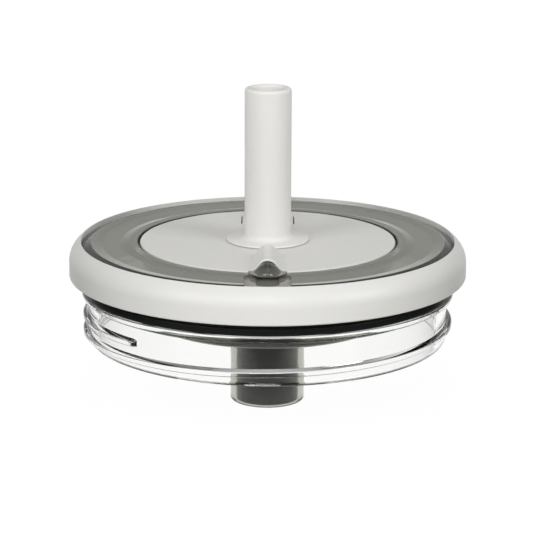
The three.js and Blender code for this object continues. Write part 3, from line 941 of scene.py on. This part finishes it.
floor_shaded = floor_tree.nodes["Principled BSDF"].outputs[0]
floor_look = shaders_mixed(floor_tree, glow_share, floor_shaded, floor_glow.outputs[0])
floor_tree.links.new(floor_look, floor_tree.nodes["Material Output"].inputs["Surface"])
floor.data.materials.append(floor_paint)

flag_place = 85 * mm
flag_height = 50 * mm
flag_front = -75 * mm
flag_back = 30 * mm
flag_black = plastic("flag", (0.02, 0.02, 0.02), 0.9)
for side in (-flag_place, flag_place):
    flag = mesh_piece("flag", [
        (side, flag_front, 0.1 * mm),
        (side, flag_back, 0.1 * mm),
        (side, flag_back, flag_height),
        (side, flag_front, flag_height),
    ], [(0, 1, 2, 3)])
    flag.data.materials.append(flag_black)
    flag.visible_camera = False

room_level = 0.3
world = bpy.data.worlds.new("room")
bpy.context.scene.world = world
world.use_nodes = True
room_tree = world.node_tree
room = room_tree.nodes["Background"]
room.inputs["Color"].default_value = (1, 1, 1, 1)
room.inputs["Strength"].default_value = room_level
room_rays = room_tree.nodes.new("ShaderNodeLightPath").outputs
room_axes = axes_of(room_tree, "Generated")
towards_back = maths(room_tree, "POWER", ranged(room_tree, room_axes["Y"], -1, 0.6), 2.2)
near_floor = ranged(room_tree, room_axes["Z"], 0.05, 0.25, 1, 0.5)
mirrored_room = room_tree.nodes.new("ShaderNodeBackground")
mirrored_level = maths(room_tree, "MULTIPLY", towards_back, near_floor)
room_tree.links.new(mirrored_level, mirrored_room.inputs["Strength"])
backdrop = room_tree.nodes.new("ShaderNodeBackground")
backdrop.inputs["Strength"].default_value = 1
mirrored = maths(room_tree, "MAXIMUM", room_rays["Is Glossy Ray"], room_rays["Is Transmission Ray"])
seen_directly = maths(room_tree, "SUBTRACT", mirrored, room_rays["Diffuse Depth"])
seen_directly.node.use_clamp = True
lit_or_mirrored = shaders_mixed(room_tree, seen_directly, room.outputs[0], mirrored_room.outputs[0])
room_look = shaders_mixed(room_tree, room_rays["Is Camera Ray"], lit_or_mirrored, backdrop.outputs[0])
room_tree.links.new(room_look, room_tree.nodes["World Output"].inputs["Surface"])

lid_middle = Vector((0, 0, 40 * mm))


def softbox(name, place, width, height, power):
    lamp = bpy.data.lights.new(name, "AREA")
    lamp.shape = "RECTANGLE"
    lamp.size = width
    lamp.size_y = height
    lamp.energy = power
    holder = bpy.data.objects.new(name, lamp)
    holder.location = place
    holder.rotation_mode = "QUATERNION"
    holder.rotation_quaternion = (lid_middle - Vector(place)).to_track_quat("-Z", "Y")
    bpy.context.scene.collection.objects.link(holder)


softbox("front softbox", (-0.05, -1.0, 0.75), 0.42, 0.5, 4.4)
softbox("left softbox", (-0.8, -0.75, 0.6), 0.6, 0.6, 5)
softbox("right softbox", (0.88, -0.55, 0.6), 0.5, 0.5, 4.5)
softbox("top softbox", (0.1, 0.15, 1.1), 0.6, 0.6, 1)

# Camera
# A long lens a little above the lid, as in the photograph.
camera_lens = bpy.data.cameras.new("camera")
camera_lens.sensor_width = 36
camera_lens.lens = 160.2
camera = bpy.data.objects.new("camera", camera_lens)
bpy.context.scene.collection.objects.link(camera)
camera_distance = 0.6
camera_rise = math.radians(14.59)
camera_roll = math.radians(0.21)
camera_yaw = math.radians(0.027)
camera_aim = Vector((0, 0, 34.6 * mm))
camera_back = Vector((0, -math.cos(camera_rise), math.sin(camera_rise)))
camera.rotation_mode = "QUATERNION"
camera.location = camera_aim + camera_distance * camera_back
camera_turn = (-camera_back).to_track_quat("-Z", "Y").to_matrix()
camera_turn = camera_turn @ Matrix.Rotation(camera_yaw, 3, "Y") @ Matrix.Rotation(camera_roll, 3, "Z")
camera.rotation_quaternion = camera_turn.to_quaternion()
bpy.context.scene.camera = camera
bpy.context.scene.view_settings.view_transform = "Standard"
